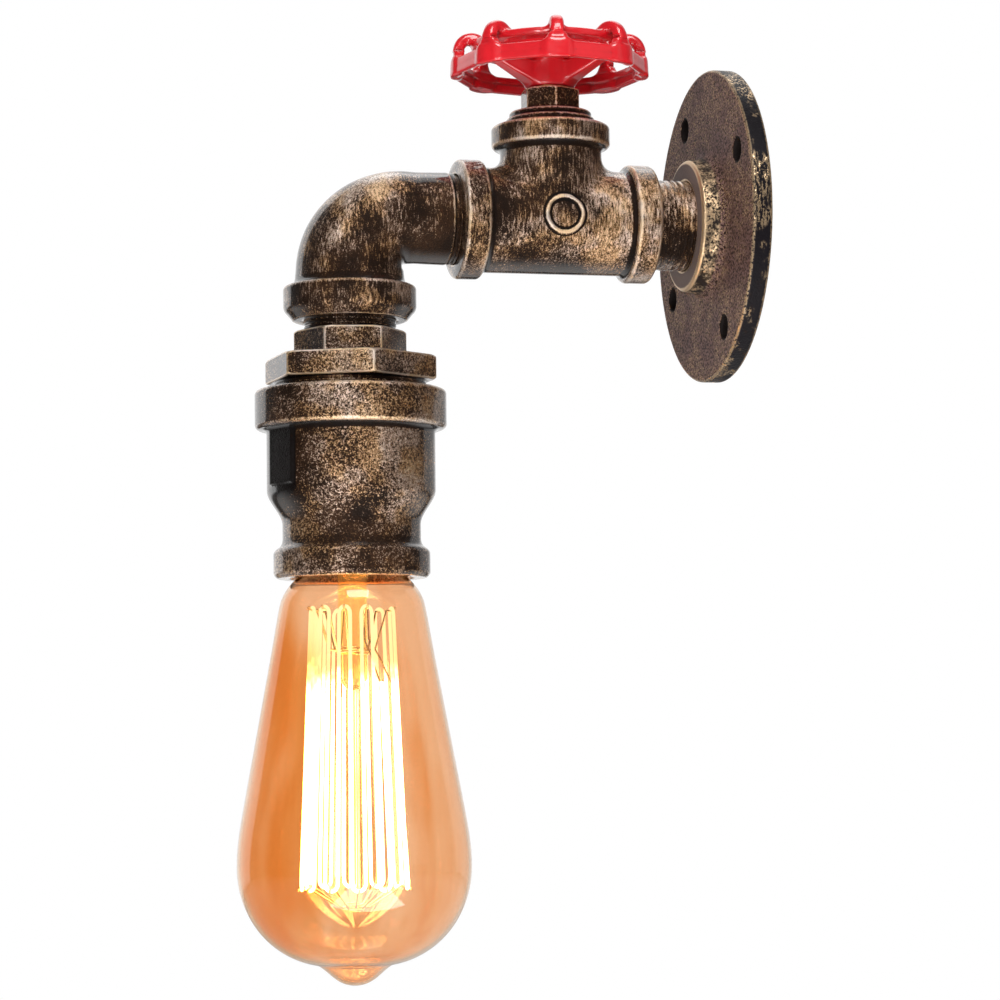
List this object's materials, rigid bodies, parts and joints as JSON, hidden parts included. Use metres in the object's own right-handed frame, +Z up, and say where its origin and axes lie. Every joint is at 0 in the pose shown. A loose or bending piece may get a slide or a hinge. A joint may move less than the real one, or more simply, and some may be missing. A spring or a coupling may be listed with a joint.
{
  "type": "wall lamp",
  "caption": "Industrial wall lamp of antique bronze pipe fittings, with a red valve handwheel as its switch knob, a turning drop elbow and a screw-in amber filament bulb.",
  "frame": {"origin": "centre of the wall flange's back face, on the wall", "axes": "+Z up, +Y into the wall, so the arm runs out along -Y, and +X to the right for someone who faces the wall"},
  "size_m": [0.0886, 0.1405, 0.2663],
  "materials": {
    "antique_bronze": "dark antique bronze, dry-brushed with gold, under a gloss clear coat",
    "red_enamel": "gloss red enamel",
    "zinc_steel": "zinc plated",
    "brass": "bare brass",
    "packing": "graphite-free gland packing",
    "black_moulding": "moulded thermoset",
    "white_moulding": "moulded nylon",
    "brown_insulation": "wire insulation",
    "black_insulation": "wire insulation and sheath",
    "blue_insulation": "wire insulation",
    "ceramic": "white porcelain",
    "amber_glass": "amber tinted clear glass",
    "clear_glass": "clear stem glass",
    "glowing_wire": "lit filament",
    "nickel_wire": "nickel wire"
  },
  "bodies": {
    "wall_body": {"wall_flange": "antique_bronze", "wall_nipple": "antique_bronze", "tee_body": "antique_bronze", "valve_bonnet": "antique_bronze", "gland_packing": "packing", "switch_case": "black_moulding", "switch_base": "black_moulding", "switch_contacts": "brass", "terminal_block": "white_moulding", "terminal_inserts": "brass", "terminal_screws": "zinc_steel", "feed_live_wire": "brown_insulation", "switched_live_wire": "black_insulation", "neutral_wire": "blue_insulation"},
    "handwheel": {"handwheel": "red_enamel", "spindle": "zinc_steel", "thrust_washer": "brass", "wheel_washer": "zinc_steel", "wheel_nut": "zinc_steel", "switch_rotor": "white_moulding", "spindle_circlip": "zinc_steel"},
    "lamp_head": {"street_elbow": "antique_bronze", "hex_nipple": "antique_bronze", "hex_bush": "antique_bronze", "reducer_bell": "antique_bronze", "clamp_ring": "zinc_steel", "holder_body": "ceramic", "screw_shell": "brass", "centre_contact": "brass", "holder_terminals": "brass", "holder_terminal_screws": "zinc_steel", "head_lead": "black_insulation", "head_neutral_core": "blue_insulation", "head_live_core": "brown_insulation"},
    "bulb_seat": {"bulb_tip_contact": "zinc_steel"},
    "bulb": {"bulb_glass": "amber_glass", "bulb_cap": "brass", "cap_insulator": "black_moulding", "glass_stem": "clear_glass", "lead_in_wires": "nickel_wire", "filament": "glowing_wire", "filament_hooks": "nickel_wire"}
  },
  "joints": [
    {"name": "handwheel_turn", "type": "hinge", "parent": "wall_body", "child": "handwheel", "pos_m": [0, -0.0505, 0.042], "axis": [0, 0, 1], "continuous": true},
    {"name": "arm_swing", "type": "hinge", "parent": "wall_body", "child": "lamp_head", "pos_m": [0, -0.0785, 0], "axis": [0, 1, 0], "range_deg": [-90, 90]},
    {"name": "bulb_lower", "type": "slide", "parent": "lamp_head", "child": "bulb_seat", "axis": [0, 0, -1], "range_m": [0, 0.0146]},
    {"name": "bulb_turn", "type": "hinge", "parent": "bulb_seat", "child": "bulb", "pos_m": [0, -0.1085, -0.09], "axis": [0, 0, -1], "range_deg": [0, 1440]}
  ],
  "couplings": [
    {"joint": "bulb_lower", "follows": "bulb_turn", "m_per_rad": 0.00057757}
  ]
}
